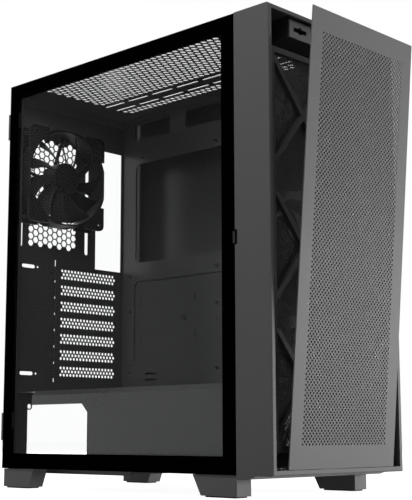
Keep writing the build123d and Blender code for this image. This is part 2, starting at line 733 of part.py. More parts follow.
def fan_frame():
    """Fan frame: two flanges with corner tabs, a ring between them, slanted struts and the motor base."""
    square = RectangleRounded(FAN_SIZE, FAN_SIZE, FAN_CORNER)
    cross = Rectangle(2 * FAN_SIZE, 2 * FAN_TAB) + Rectangle(2 * FAN_TAB, 2 * FAN_SIZE)
    flange = square - cross + (Circle(FAN_ROUND) & square) - Circle(FAN_BORE)
    for x, y in fan_corners(0, 0):
        flange -= spot(x, y, SCREW_HOLE)
    near = raised(flange, FAN_FLANGE)
    ring = raised(Circle(FAN_SIZE / 2) - Circle(FAN_BORE), FAN_DEPTH - FAN_FLANGE)
    frame = near + Pos(0, 0, FAN_DEPTH - FAN_FLANGE) * near + Pos(0, 0, FAN_FLANGE / 2) * ring
    middle_of_ring = (FAN_BORE + FAN_SIZE / 2) / 2
    strut = block(0, middle_of_ring, *around(STRUT_OFFSET, STRUT_WIDTH), 0, STRUT_DEPTH)
    for i in range(FAN_STRUTS):
        frame += Rot(0, 0, STRUT_TURN + 360 / FAN_STRUTS * i) * strut
    frame += raised(Circle(MOTOR_RADIUS), MOTOR_DEPTH)
    return frame - rod("Z", SHAFT_RADIUS + SHAFT_CLEARANCE, (0, 0, -OVER), MOTOR_DEPTH + 2 * OVER)


def fan_blade():
    """One swept and twisted blade, lofted from its root inside the hub to its tip."""
    sections = []
    for i in range(BLADE_SECTIONS):
        t = i / (BLADE_SECTIONS - 1)
        radius = BLADE_ROOT + t * (FAN_TIP - BLADE_ROOT)
        swing = math.radians(BLADE_TURN + BLADE_SWEEP * t)
        pitch = math.radians(BLADE_PITCH[0] + t * (BLADE_PITCH[1] - BLADE_PITCH[0]))
        chord = BLADE_CHORD[0] + t * (BLADE_CHORD[1] - BLADE_CHORD[0])
        outward = Vector(math.cos(swing), math.sin(swing), 0)
        sideways = Vector(-math.sin(swing), math.cos(swing), 0)
        along = sideways * math.cos(pitch) + Vector(0, 0, math.sin(pitch))
        place = Plane(origin=outward * radius + Vector(0, 0, BLADE_MIDDLE), x_dir=along, z_dir=outward)
        sections.append(place * Rectangle(chord, BLADE_THICKNESS))
    return loft(sections)


def fan_rotor():
    """Rotor of a fan: hub with a rounded nose, shaft and swept blades."""
    hub = rod("Z", FAN_HUB, (0, 0, HUB_BACK), HUB_NOSE - HUB_BACK)
    hub = fillet(hub.edges().group_by(Axis.Z)[-1], HUB_EDGE)
    hub += rod("Z", SHAFT_RADIUS, (0, 0, SHAFT_BACK), HUB_BACK - SHAFT_BACK)
    blade = fan_blade()
    return hub + [Rot(0, 0, 360 / FAN_BLADES * i) * blade for i in range(FAN_BLADES)]


def fan_place(x, back, z):
    """Where a fan stands: its struts at the back and its open face to the front."""
    return Plane(origin=(x, back, z), x_dir=(1, 0, 0), z_dir=(0, -1, 0)).location


def fan_screws():
    """Screws that hold the fans to the front wall and the rear panel."""
    screws = []
    for height in front_fan_heights():
        for x, z in fan_corners(0, height):
            head = rod("Y", SCREW_HEAD, (x, BEZEL_DEPTH - SCREW_HEAD_DEPTH, z), SCREW_HEAD_DEPTH)
            screws.append(head + rod("Y", SCREW_RADIUS, (x, BEZEL_DEPTH, z), SCREW_LENGTH))
    for x, z in fan_corners(REAR_FAN_X, REAR_FAN_Z):
        head = rod("Y", SCREW_HEAD, (x, PANEL_BACK, z), SCREW_HEAD_DEPTH)
        screws.append(head + rod("Y", SCREW_RADIUS, (x, PANEL_BACK - SCREW_LENGTH, z), SCREW_LENGTH))
    return screws


def guard_frame():
    """Plastic guard in front of the fans: a frame with two columns of crossed ribs and side ears."""
    column = GUARD_HALF - GUARD_STILE
    outline = area((-GUARD_HALF, GUARD_HALF), (GUARD_BOTTOM, GUARD_TOP))
    opening_z = (GUARD_BOTTOM + RIB_WIDTH, GUARD_TOP - RIB_WIDTH)
    frame = outline - area((-column, -RIB_WIDTH / 2), opening_z) - area((RIB_WIDTH / 2, column), opening_z)
    slope = math.degrees(math.atan2(2 * CROSS_HALF_HEIGHT, column))
    rib = Rectangle(math.hypot(2 * CROSS_HALF_HEIGHT, column), RIB_WIDTH)
    for height in front_fan_heights():
        for x in (-column / 2, column / 2):
            frame += Pos(x, height) * Rot(0, 0, slope) * rib
            frame += Pos(x, height) * Rot(0, 0, -slope) * rib
    guard = facing_front(GUARD_BACK).location * raised(frame & outline, GUARD_BACK - GUARD_FRONT)
    for z in EAR_Z:
        ear = block(GUARD_HALF, BEZEL_INSIDE, *EAR_Y, *around(z, EAR_HEIGHT))
        guard += ear + mirrored(ear)
    return guard


def guard_mesh():
    """Fine dust cloth on the back of the guard."""
    outline = area((-GUARD_HALF, GUARD_HALF), (GUARD_BOTTOM, GUARD_TOP))
    return sheet(facing_front(GUARD_BACK + CLOTH), outline, thickness=CLOTH)


def front_mesh_panel():
    """Front panel: one flat sheet with rounded front edges."""
    half = PANEL_WIDTH / 2
    panel = block(-half, half, PANEL_FRONT, PANEL_INSIDE, PANEL_BOTTOM, PANEL_BOTTOM + PANEL_HEIGHT)
    return opened(fillet(panel.edges().group_by(Axis.Y)[0], PANEL_EDGE))


def panel_snap_studs():
    """Ball studs on the back of the front panel, near its top corners."""
    start = (STUD_X, PANEL_INSIDE, STUD_Z)
    stud = rod("Y", STUD_BASE, start, STUD_BASE_DEPTH)
    stud += rod("Y", STUD_STEM, start, STUD_REACH)
    stud += Pos(STUD_X, PANEL_INSIDE + STUD_REACH, STUD_Z) * Sphere(STUD_BALL)
    return [opened(stud), opened(mirrored(stud))]


def panel_hinge_lugs():
    """Lugs at the bottom of the front panel, each with a pivot pin pointing outward."""
    low = PANEL_BOTTOM + LUG_INSET
    lug = block(LUG_X, LUG_X + LUG_WIDTH, PANEL_INSIDE, PIVOT_Y, low, PIVOT_Z + LUG_RISE)
    lug += rod("X", LUG_ROUND, (LUG_X, PIVOT_Y, PIVOT_Z), LUG_WIDTH)
    lug += rod("X", PIVOT_RADIUS, (LUG_X + LUG_WIDTH, PIVOT_Y, PIVOT_Z), PIVOT_LENGTH)
    return [opened(lug), opened(mirrored(lug))]


def panel_pivot_brackets():
    """Blocks on the bottom of the bezel that hold the pivot pins of the front panel."""
    far = BRACKET_X + BRACKET_WIDTH
    bracket = block(BRACKET_X, far, *BRACKET_Y, BASE + BEZEL_WALL, PIVOT_Z + BRACKET_RISE)
    start = (BRACKET_X - OVER, PIVOT_Y, PIVOT_Z)
    bracket -= rod("X", PIVOT_RADIUS + PIVOT_CLEARANCE, start, BRACKET_WIDTH + 2 * OVER)
    return [bracket, mirrored(bracket)]


def catch_plate():
    """Plate with a slot and a round snap hole that takes a stud of the front panel."""
    outline = area(around(-STUD_X, CATCH_WIDTH), around(STUD_Z, CATCH_HEIGHT))
    return sheet(facing_front(CATCH_BACK), outline, [catch_hole(-STUD_X, 0)], CATCH_BACK - CATCH_FRONT)


def catch_hole(x, margin):
    """Slot with a round middle that a stud snaps into, wider by a margin."""
    length = CATCH_SLOT_LENGTH + 2 * margin
    width = CATCH_SLOT_WIDTH + 2 * margin
    return area(around(x, length), around(STUD_Z, width)) + spot(x, STUD_Z, CATCH_HOLE + margin)


def io_housing():
    """Open plastic box under the top of the bezel that holds the connector board."""
    inner = HOUSING_HALF - HOUSING_WALL
    inner_low = HOUSING_LOW + HOUSING_WALL
    box = block(-HOUSING_HALF, HOUSING_HALF, CATCH_BACK, HOUSING_BACK, HOUSING_LOW, BEZEL_UNDER)
    box -= block(-inner, inner, CATCH_BACK + HOUSING_WALL, HOUSING_BACK - HOUSING_WALL, inner_low, TOP)
    for x in (-STUD_X, STUD_X):
        hole = catch_hole(x, HOUSING_SLOT_MARGIN)
        box -= sheet(facing_front(CATCH_BACK + HOUSING_WALL + OVER), hole, thickness=HOUSING_WALL + 2 * OVER)
    for x in (-POST_X, POST_X):
        box += rod("Z", POST_RADIUS, (x, POST_Y, HOUSING_LOW), IO_BOARD_Z - HOUSING_LOW)
    return box


def io_board():
    """Circuit board under the ports, with the two button switches on it."""
    board = block(-IO_BOARD_HALF, IO_BOARD_HALF, *IO_BOARD_Y, IO_BOARD_Z, IO_BOARD_TOP)
    switch_top = IO_BOARD_TOP + SWITCH_HEIGHT
    for x in (POWER_X, RESET_X):
        board += block(*around(x, SWITCH_SIZE), *around(PORT_Y, SWITCH_SIZE), IO_BOARD_TOP, switch_top)
    return board


def push_button(x, radius):
    """Button cap with a dished top, a flange under the bezel and a stem over its switch."""
    rim_low = BEZEL_UNDER - GAP - BUTTON_RIM
    stem_low = IO_BOARD_Z + STEM_CLEARANCE
    dish = BUTTON_DISH_RATIO * radius
    cap = rod("Z", radius, (x, PORT_Y, rim_low), BUTTON_TOP - rim_low)
    cap += rod("Z", radius + BUTTON_RIM, (x, PORT_Y, rim_low), BUTTON_RIM)
    cap -= Pos(x, PORT_Y, BUTTON_TOP + dish - BUTTON_DISH) * Sphere(dish)
    return cap + rod("Z", BUTTON_STEM, (x, PORT_Y, stem_low), rim_low - stem_low)


def usb_a_ports():
    """Metal shells of the two large connectors, open at the top."""
    width, depth = LARGE_PORT
    hollow_width = width - 2 * LARGE_PORT_WALL
    hollow_depth = depth - 2 * LARGE_PORT_WALL
    floor = IO_BOARD_TOP + LARGE_PORT_FLOOR
    ports = []
    for x in LARGE_PORT_X:
        shell = block(*around(x, width), *around(PORT_Y, depth), IO_BOARD_TOP, PORT_TOP)
        shell -= block(*around(x, hollow_width), *around(PORT_Y, hollow_depth), floor, TOP)
        ports.append(shell)
    return ports


def usb_c_port():
    """Metal shell of the small connector, with rounded ends and its tongue inside."""
    floor = IO_BOARD_TOP + SMALL_PORT_FLOOR
    outside = slot(SMALL_PORT_X, PORT_Y, *SMALL_PORT)
    inside = slot(SMALL_PORT_X, PORT_Y, *(size - 2 * SMALL_PORT_WALL for size in SMALL_PORT))
    shell = level(IO_BOARD_TOP).location * raised(outside, PORT_TOP - IO_BOARD_TOP)
    shell -= level(floor).location * raised(inside, TOP - floor)
    tongue_width, tongue_depth = TONGUE
    tongue_top = PORT_TOP - TONGUE_DROP
    across = around(SMALL_PORT_X, tongue_width)
    return shell + block(*across, *around(PORT_Y, tongue_depth), floor, tongue_top)


def audio_jack():
    """Headset jack: a plastic body with a round socket."""
    width, depth = AUDIO_BODY
    body = block(*around(AUDIO_X, width), *around(PORT_Y, depth), IO_BOARD_TOP, BEZEL_UNDER - GAP)
    body += rod("Z", AUDIO_NECK, (AUDIO_X, PORT_Y, IO_BOARD_TOP), PORT_TOP - IO_BOARD_TOP)
    socket = (AUDIO_X, PORT_Y, PORT_TOP - AUDIO_SOCKET_DEPTH)
    return body - rod("Z", AUDIO_SOCKET, socket, AUDIO_SOCKET_DEPTH + OVER)


def foot(*corners):
    """A left foot with one slanted end, drawn from its side."""
    profile = make_face(Polyline(*corners, close=True))
    return sheet(lengthwise(FOOT_X[0]), profile, thickness=FOOT_X[1] - FOOT_X[0])


def front_foot():
    """Front left foot, slanted at its back."""
    front, low_back, top_back = FRONT_FOOT_Y
    return foot((front, FLOOR_UNDER), (front, PAD), (low_back, PAD), (top_back, FLOOR_UNDER))


def rear_foot():
    """Rear left foot, slanted at its front."""
    top_front, low_front, back = REAR_FOOT_Y
    return foot((top_front, FLOOR_UNDER), (low_front, PAD), (back, PAD), (back, FLOOR_UNDER))


def foot_pads():
    """Rubber pads under the four feet."""
    left, right = FOOT_X
    pads = [block(left + PAD_INSET, right - PAD_INSET, *along, 0, PAD) for along in (FRONT_PAD_Y, REAR_PAD_Y)]
    return pads + [mirrored(pad) for pad in pads]


def glass_door():
    """Tempered glass pane of the left side."""
    pane = block(-HALF, -HALF + GLASS, DOOR_FRONT, SIDE_REAR, DOOR_BOTTOM, DOOR_TOP)
    return chamfer(pane.edges().group_by(Axis.X)[0], GLASS_EDGE)


def pin_hole(z, radius):
    """The hole of a hinge pin, through the whole height of a hinge."""
    low = z - HINGE_HEIGHT / 2 - OVER
    return rod("Z", radius, (HINGE_X, HINGE_Y, low), HINGE_HEIGHT + 2 * OVER)


def door_hinge_leaves():
    """Hinge leaves bonded to the inside of the glass, each with a knuckle."""
    inside = -HALF + GLASS
    leaves = []
    for z in HINGE_Z:
        low = z - HINGE_HEIGHT / 2 + BASE_HEIGHT + KNUCKLE_GAP
        high = z + HINGE_HEIGHT / 2
        leaf = block(inside, inside + LEAF_THICKNESS, LEAF_FRONT, HINGE_Y, low, high)
        leaf += rod("Z", BARREL, (HINGE_X, HINGE_Y, low), high - low)
        leaves.append(leaf - pin_hole(z, PIN_RADIUS + PIN_CLEARANCE))
    return leaves


def door_hinge_bases():
    """Hinge bases fixed to the rear panel, each with the lower knuckle."""
    left, right = BASE_X
    bases = []
    for z in HINGE_Z:
        low = z - HINGE_HEIGHT / 2
        high = low + BASE_HEIGHT
        base = block(left, right, PANEL_BACK, BASE_BACK, low, high)
        base += block(HINGE_X, left, BASE_BACK - BASE_ARM, BASE_BACK, low, high)
        base += rod("Z", BARREL, (HINGE_X, HINGE_Y, low), BASE_HEIGHT)
        bases.append(base - pin_hole(z, PIN_RADIUS))
    return bases


def door_hinge_pins():
    """Steel pins that stand in the hinge bases."""
    return [rod("Z", PIN_RADIUS, (HINGE_X, HINGE_Y, z - HINGE_HEIGHT / 2), HINGE_HEIGHT) for z in HINGE_Z]


def door_pull_tab():
    """Small tab on the front edge of the glass, lying in a notch of the bezel."""
    return block(*TAB_X, TAB_FRONT, DOOR_FRONT, *around(TAB_Z, TAB_HEIGHT))


def right_side_panel():
    """Flat steel side panel with edges folded inward and an ear for each thumb screw."""
    folded = SIDE_X - SIDE_FOLD
    skin = block(folded, SIDE_X, DOOR_FRONT, SIDE_REAR, DOOR_BOTTOM, DOOR_TOP)
    skin -= block(folded - OVER, SIDE_X - SHEET, DOOR_FRONT + SHEET, SIDE_REAR - SHEET,
                  DOOR_BOTTOM + SHEET, DOOR_TOP - SHEET)
    left = THUMB_SCREW_X - THUMB_EAR_WIDTH
    for z in THUMB_SCREW_Z:
        ear = block(left, folded, SIDE_REAR - SHEET, SIDE_REAR, *around(z, THUMB_EAR_HEIGHT))
        skin += ear - rod("Y", THUMB_RADIUS, (THUMB_SCREW_X, SIDE_REAR - SHEET - OVER, z), SHEET + 2 * OVER)
    return skin


def panel_thumb_screws():
    """Captive thumb screws of the right side panel."""
    screws = []
    for z in THUMB_SCREW_Z:
        head = rod("Y", THUMB_HEAD, (THUMB_SCREW_X, SIDE_REAR, z), REAR_REACH - SIDE_REAR)
        tip = (THUMB_SCREW_X, SIDE_REAR - THUMB_LENGTH, z)
        screws.append(head + rod("Y", THUMB_RADIUS, tip, THUMB_LENGTH))
    return screws


def rim_frame(half, along, z_range, rim):
    """A flat open frame of even width."""
    low, high = z_range
    inner = half - rim
    frame = block(-half, half, *along, low, high)
    return frame - block(-inner, inner, along[0] + rim, along[1] - rim, low - OVER, high + OVER)


def rim_cloth(half, along, low, rim):
    """The dust cloth that fills such a frame."""
    return block(-half + rim, half - rim, along[0] + rim, along[1] - rim, low, low + CLOTH)


def top_filter_frame():
    """Flexible magnetic frame of the top dust filter."""
    high = TOP_FILTER_LOW + TOP_FILTER_THICKNESS
    return rim_frame(TOP_FILTER_HALF, TOP_FILTER_Y, (TOP_FILTER_LOW, high), TOP_FILTER_RIM)


def top_filter_mesh():
    """Fine dust cloth of the top filter."""
    return rim_cloth(TOP_FILTER_HALF, TOP_FILTER_Y, TOP_FILTER_LOW + CLOTH_RISE, TOP_FILTER_RIM)


def psu_filter_frame():
    """Plastic frame of the power supply filter, with a pull lip at its rear."""
    frame = rim_frame(SUPPLY_FILTER_HALF, SUPPLY_FILTER_Y, SUPPLY_FILTER_Z, SUPPLY_FILTER_RIM)
    back = SUPPLY_FILTER_Y[1]
    return frame + block(-PULL_HALF, PULL_HALF, back, back + PULL_LENGTH, *SUPPLY_FILTER_Z)


def psu_filter_mesh():
    """Fine dust cloth of the power supply filter."""
    return rim_cloth(SUPPLY_FILTER_HALF, SUPPLY_FILTER_Y, SUPPLY_CLOTH_Z, SUPPLY_FILTER_RIM)


def psu_filter_rails():
    """Rails under the floor that the power supply filter slides in."""
    rail = block(*RAIL_X, *RAIL_Y, RAIL_LOW, FLOOR_UNDER)
    rail += block(RAIL_X[0] - RAIL_LEDGE, RAIL_X[0], *RAIL_Y, RAIL_LOW, RAIL_LOW + RAIL_LEDGE_THICKNESS)
    return [rail, mirrored(rail)]


def write(name, solids):
    """Write one piece, moved so that the origin lies under the middle of the whole case."""
    lean = math.radians(PANEL_TILT)
    panel_top = PANEL_BOTTOM + PANEL_HEIGHT - PIVOT_Z
    front_reach = PIVOT_Y + (PANEL_FRONT - PIVOT_Y) * math.cos(lean) - panel_top * math.sin(lean)
    middle = (front_reach + REAR_REACH) / 2
    group = solids if isinstance(solids, list) else [solids]
    moved = [Pos(0, -middle, 0) * solid for solid in group]
    piece = moved[0] if len(moved) == 1 else Compound(children=moved)
    export_step(piece, f"parts/{name}.step")


frame = fan_frame()
rotor = fan_rotor()
for name, height in zip(("top", "middle", "bottom"), front_fan_heights()):
    place = fan_place(0, WALL_BACK + FAN_DEPTH, height)
    write(f"front_fan_frame_{name}", place * frame)
    write(f"front_fan_rotor_{name}", place * rotor)
place = fan_place(REAR_FAN_X, REAR, REAR_FAN_Z)
write("rear_fan_frame", place * frame)
write("rear_fan_rotor", place * rotor)

for i, height in enumerate(slot_heights()):
    write(f"slot_cover_{i + 1}", slot_cover(height))

write("foot_front_left", front_foot())
write("foot_front_right", mirrored(front_foot()))
write("foot_rear_left", rear_foot())
write("foot_rear_right", mirrored(rear_foot()))
write("catch_plate_left", catch_plate())
write("catch_plate_right", mirrored(catch_plate()))
write("power_button", push_button(POWER_X, POWER_RADIUS))
write("reset_button", push_button(RESET_X, RESET_RADIUS))

for piece in (front_bezel, front_wall, floor_plate, top_plate, rear_panel, motherboard_tray, psu_shroud,
              drive_cage, drive_trays, board_standoffs, fan_screws, slot_cover_screws, guard_frame,
              guard_mesh, front_mesh_panel, panel_snap_studs, panel_hinge_lugs, panel_pivot_brackets,
              io_housing, io_board, usb_a_ports, usb_c_port, audio_jack, foot_pads, glass_door,
              door_hinge_leaves, door_hinge_bases, door_hinge_pins, door_pull_tab, right_side_panel,
              panel_thumb_screws, top_filter_frame, top_filter_mesh, psu_filter_frame, psu_filter_mesh,
              psu_filter_rails):
    write(piece.__name__, piece())
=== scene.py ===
import json
import math

import bmesh
import bpy
from mathutils import Matrix, Vector


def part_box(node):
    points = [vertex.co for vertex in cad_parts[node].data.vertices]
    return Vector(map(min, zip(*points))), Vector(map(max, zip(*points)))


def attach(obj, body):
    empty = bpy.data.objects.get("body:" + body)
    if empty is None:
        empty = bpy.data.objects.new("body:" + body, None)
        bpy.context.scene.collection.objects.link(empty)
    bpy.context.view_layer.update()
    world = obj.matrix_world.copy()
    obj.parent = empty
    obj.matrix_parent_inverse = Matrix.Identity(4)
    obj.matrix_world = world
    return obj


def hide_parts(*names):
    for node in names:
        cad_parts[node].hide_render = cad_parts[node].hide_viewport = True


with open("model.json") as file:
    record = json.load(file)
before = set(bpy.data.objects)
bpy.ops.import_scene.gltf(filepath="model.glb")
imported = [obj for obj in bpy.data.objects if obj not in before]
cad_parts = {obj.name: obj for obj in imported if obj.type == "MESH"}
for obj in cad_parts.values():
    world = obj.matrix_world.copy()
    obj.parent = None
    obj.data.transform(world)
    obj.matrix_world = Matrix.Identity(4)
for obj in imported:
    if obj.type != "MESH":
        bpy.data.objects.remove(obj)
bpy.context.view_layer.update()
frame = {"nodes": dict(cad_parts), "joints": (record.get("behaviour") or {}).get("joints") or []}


# Steel chassis: folded sheets of 0.8 mm steel, riveted together. Floor, top, front wall, tray, shroud,
# drive cage and right side all carry the same dark grey paint, semi-gloss with a faint orange peel.

class Wire:
    """An output socket of a material: arithmetic on wires adds Math nodes, and add makes any other node."""

    def __init__(self, tree, socket):
        self.tree = tree
        self.socket = socket

    def add(self, kind, settings, sockets, output=0):
        node = self.tree.nodes.new("ShaderNode" + kind)
        for name, value in settings.items():
            if name == "stops":
                ramp = node.color_ramp.elements
                ramp[1].position, ramp[1].color = value[-1]
                ramp[0].position, ramp[0].color = value[0]
                for position, color in value[1:-1]:
                    ramp.new(position).color = color
            else:
                setattr(node, name, value)
        for name, value in sockets.items():
            if isinstance(value, Wire):
                self.tree.links.new(value.socket, node.inputs[name])
            else:
                node.inputs[name].default_value = value
        return Wire(self.tree, node.outputs[output]) if len(node.outputs) else None

    def math(self, operation, first, second=0.0):
        return self.add("Math", {"operation": operation}, {0: first, 1: second})

    def __add__(self, other):
        return self.math("ADD", self, other)

    def __sub__(self, other):
        return self.math("SUBTRACT", self, other)

    def __rsub__(self, other):
        return self.math("SUBTRACT", other, self)

    def __mul__(self, other):
        return self.math("MULTIPLY", self, other)

    def __gt__(self, other):
        return self.math("GREATER_THAN", self, other)

    def __lt__(self, other):
        return self.math("LESS_THAN", self, other)

    __radd__ = __add__
    __rmul__ = __mul__


def start_finish(name):
    """A new empty material, and a wire from its Object coordinates."""
    material = bpy.data.materials.new(name)
    material.use_nodes = True
    tree = material.node_tree
    tree.nodes.clear()
    return material, Wire(tree, tree.nodes.new("ShaderNodeTexCoord").outputs["Object"])


def grey(level):
    """A neutral grey with a trace of blue."""
    return (level, level, level * 1.01, 1.0)


def grained(name, dark, pale, rough, grain, height, sheen):
    """A coated or moulded surface: cloudy tone, raised grain, and a roughness that follows both."""
    cloud_share, pebble_share = 0.55, 0.45
    cloud_wear, pebble_wear = 0.08, 0.06
    material, place = start_finish(name)
    cloud = place.add("TexNoise", {}, {"Vector": place, "Scale": 9.0, "Detail": 3.0, "Roughness": 0.6})
    pebble = place.add("TexNoise", {}, {"Vector": place, "Scale": grain, "Detail": 2.0, "Roughness": 0.5})
    tone = place.add("ValToRGB", {"stops": [(0.3, grey(dark)), (0.7, grey(pale))]},
                     {"Fac": cloud * cloud_share + pebble * pebble_share})
    bump = place.add("Bump", {}, {"Height": pebble, "Strength": 0.3, "Distance": height})
    smoothest = rough - (cloud_wear + pebble_wear) / 2
    shader = place.add("BsdfPrincipled", {}, {
        "Base Color": tone,
        "Roughness": cloud * cloud_wear + pebble * pebble_wear + smoothest,
        "Specular IOR Level": sheen,
        "Normal": bump,
    })
    place.add("OutputMaterial", {}, {"Surface": shader})
    return material


def paint(material, *names):
    """Gives CAD pieces a finish."""
    for name in names:
        mesh = frame["nodes"][name].data
        mesh.materials.clear()
        mesh.materials.append(material)


steel_paint = grained("steel_paint", dark=0.098, pale=0.112, rough=0.3, grain=420.0,
                      height=0.00002, sheen=0.32)
paint(steel_paint, "front_wall", "floor_plate", "top_plate", "motherboard_tray", "psu_shroud", "drive_cage",
      "right_side_panel", "board_standoffs")


# Rear panel and expansion slot covers: one punched and folded sheet of steel riveted to the chassis, and
# seven loose strips with staggered round holes, each held by one screw. Their paint is a shade darker and
# a little more matt than that of the chassis.
rear_paint = grained("rear_paint", dark=0.074, pale=0.086, rough=0.36, grain=420.0,
                     height=0.00002, sheen=0.28)
slot_names = [name for name in frame["nodes"] if name.startswith("slot_cover_") and name[-1].isdigit()]
paint(rear_paint, "rear_panel", *slot_names)


# Screws, hinges and pins: turned, rolled or stamped steel with a thin black plating, slightly glossy. The
# hinge leaves are bonded to the glass, and their bases are fixed to the rear edge of the chassis.
plating = grained("black_plating", dark=0.03, pale=0.045, rough=0.36, grain=700.0,
                  height=0.00002, sheen=0.6)
paint(plating, "slot_cover_screws", "fan_screws", "panel_thumb_screws", "door_hinge_leaves",
      "door_hinge_bases", "door_hinge_pins")


# Front bezel and feet: dark grey plastic, injection moulded, with a spark-eroded satin skin. The bezel
# snaps on to the front wall, and the feet are fixed under the floor plate.
satin = grained("satin_moulding", dark=0.16, pale=0.178, rough=0.5, grain=900.0, height=0.00003, sheen=0.2)
paint(satin, "front_bezel")
# Painted light: the feet take a paler copy of the bezel's satin, lighter only for how light falls on them.
foot_satin_painted_light = grained("foot_moulding_painted_light", dark=0.185, pale=0.205, rough=0.5, grain=900.0,
                     height=0.00003, sheen=0.2)
paint(foot_satin_painted_light, "foot_front_left", "foot_front_right", "foot_rear_left", "foot_rear_right")


# Inner mouldings: housings, brackets, trays and filter frames in a darker plastic, clipped or screwed in
# place. The two catch plates, into which the studs of the front panel snap, face the front. They take a
# paler copy of the bezel's satin: painted light, for light falling on their faces.
inner_satin = grained("inner_moulding", dark=0.05, pale=0.065, rough=0.5, grain=900.0,
                      height=0.00003, sheen=0.4)
paint(inner_satin, "io_housing", "panel_pivot_brackets", "drive_trays", "panel_snap_studs",
      "panel_hinge_lugs", "psu_filter_rails", "psu_filter_frame", "top_filter_frame", "audio_jack")
# Painted light: the catch plates' paler copy of the bezel's satin stands in for light falling on them.
catch_satin_painted_light = grained("catch_moulding_painted_light", dark=0.23, pale=0.255, rough=0.5, grain=900.0,
                      height=0.00003, sheen=0.3)
paint(catch_satin_painted_light, "catch_plate_left", "catch_plate_right")


# Guard frame: one black moulding with crossed ribs, clipped into the bezel in front of the fans. It carries
# the front dust cloth on its back.
guard_black = grained("guard_moulding", dark=0.06, pale=0.075, rough=0.42, grain=900.0,
                      height=0.00003, sheen=0.4)
paint(guard_black, "guard_frame")


# Fans: four frames and four rotors of black glass-filled plastic, injection moulded with a matt skin. Each
# frame is held by screws through its corners, and each rotor turns on the pin of its frame.
fan_black = grained("fan_moulding", dark=0.016, pale=0.022, rough=0.5, grain=900.0,
                    height=0.00003, sheen=0.1)
fan_names = [name for name in frame["nodes"] if "_fan_frame" in name or "_fan_rotor" in name]
paint(fan_black, *fan_names)


# Front panel: one flat sheet of steel, punched with staggered rows of round holes inside a plain border and
# coated dark grey. It hangs on two pivots at its foot and leans open, held by two ball studs when shut.
tilt = next(joint for joint in frame["joints"] if joint["name"] == "front_panel_tilt")
pivot = Vector(tilt["pos_m"])
lean = -math.radians(tilt["range_deg"][0])
panel_low, panel_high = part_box("front_mesh_panel")
PANEL_HALF = (panel_high.x - panel_low.x) / 2
PANEL_HEIGHT = 0.4535
PANEL_AHEAD = 0.0093
PANEL_BELOW = 0.0037
PANEL_SHEET = 0.0012
HOLE_PITCH = 0.0052
HOLE_RADIUS = 0.00125
HOLE_SIDES = 8
HOLE_COLUMNS = 27
HOLE_ROWS = 79
MERGE = HOLE_RADIUS / 20
QUARTER_TURN = math.radians(90)


def hole_field(bm, columns, rows, x, y):
    """Rows of round holes, each in its own square cell that stands on a corner."""
    hole = bmesh.ops.create_circle(bm, segments=HOLE_SIDES, radius=HOLE_RADIUS)["verts"]
    cell = bmesh.ops.create_circle(bm, segments=4, radius=HOLE_PITCH / 2)["verts"]
    rims = {edge for vert in hole + cell for edge in vert.link_edges}
    faces = bmesh.ops.bridge_loops(bm, edges=list(rims))["faces"]
    bmesh.ops.translate(bm, verts=hole + cell, vec=(x, y, 0))
    made = set(faces) | rims | set(hole + cell)
    made |= {edge for face in faces for edge in face.edges}
    for step, count in (((HOLE_PITCH, 0, 0), columns), ((0, HOLE_PITCH, 0), rows)):
        grown = set(bm.verts) | set(bm.edges) | set(bm.faces)
        bmesh.ops.spin(bm, geom=list(made), cent=(0, 0, 0), axis=(0, 0, 1), dvec=step, angle=0.0,
                       steps=count - 1, use_duplicate=True)
        made |= (set(bm.verts) | set(bm.edges) | set(bm.faces)) - grown


def new_piece(name, bm):
    """An object made from finished mesh code."""
    mesh = bpy.data.meshes.new(name)
    bm.to_mesh(mesh)
    bm.free()
    piece = bpy.data.objects.new(name, mesh)
    bpy.context.collection.objects.link(piece)
    return piece


def perforated_panel():
    """The punched sheet, drawn flat, given its thickness, then turned to its lean and set on its pivots."""
    bm = bmesh.new()
    span = HOLE_PITCH * (HOLE_COLUMNS - 1) / 2
    rise = HOLE_PITCH * (HOLE_ROWS - 1) / 2
    hole_field(bm, HOLE_COLUMNS, HOLE_ROWS, -span, -rise)
    half_step = HOLE_PITCH / 2
    hole_field(bm, HOLE_COLUMNS - 1, HOLE_ROWS - 1, half_step - span, half_step - rise)
    bmesh.ops.remove_doubles(bm, verts=bm.verts, dist=MERGE)
    zigzag = [edge for edge in bm.edges if edge.is_boundary and edge.calc_length() > HOLE_PITCH / 2]
    corners = [bm.verts.new((x * PANEL_HALF, y * PANEL_HEIGHT / 2, 0))
               for x, y in ((-1, -1), (1, -1), (1, 1), (-1, 1))]
    outer = [bm.edges.new((corners[i - 1], corners[i])) for i in range(4)]
    bmesh.ops.triangle_fill(bm, use_beauty=True, edges=zigzag + outer)
    bmesh.ops.recalc_face_normals(bm, faces=bm.faces)
    if sum(face.normal.z for face in bm.faces) < 0:
        bmesh.ops.reverse_faces(bm, faces=bm.faces)
    bmesh.ops.solidify(bm, geom=bm.faces[:] + bm.edges[:] + bm.verts[:], thickness=PANEL_SHEET)
    stand = Matrix.Rotation(QUARTER_TURN, 4, "X")
    middle = Vector((0, -PANEL_AHEAD, PANEL_HEIGHT / 2 - PANEL_BELOW))
    place = Matrix.Translation(pivot) @ Matrix.Rotation(lean, 4, "X") @ Matrix.Translation(middle) @ stand
    bmesh.ops.transform(bm, matrix=place, verts=bm.verts)
    return new_piece("perforated_panel", bm)


panel = perforated_panel()
panel_coat = grained("panel_coat", dark=0.165, pale=0.182, rough=0.55, grain=700.0,
                     height=0.00002, sheen=0.3)
panel.data.materials.append(panel_coat)
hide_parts("front_mesh_panel")
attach(panel, "front_panel")


# Guard skirt: a plain strip moulded in the guard's black plastic, clipped under its lower rail. It is a
# dark piece put in for shade: it darkens the gap between the guard and the bottom fan.
SKIRT_HEIGHT = 0.0062
SKIRT_EDGE = 0.0004


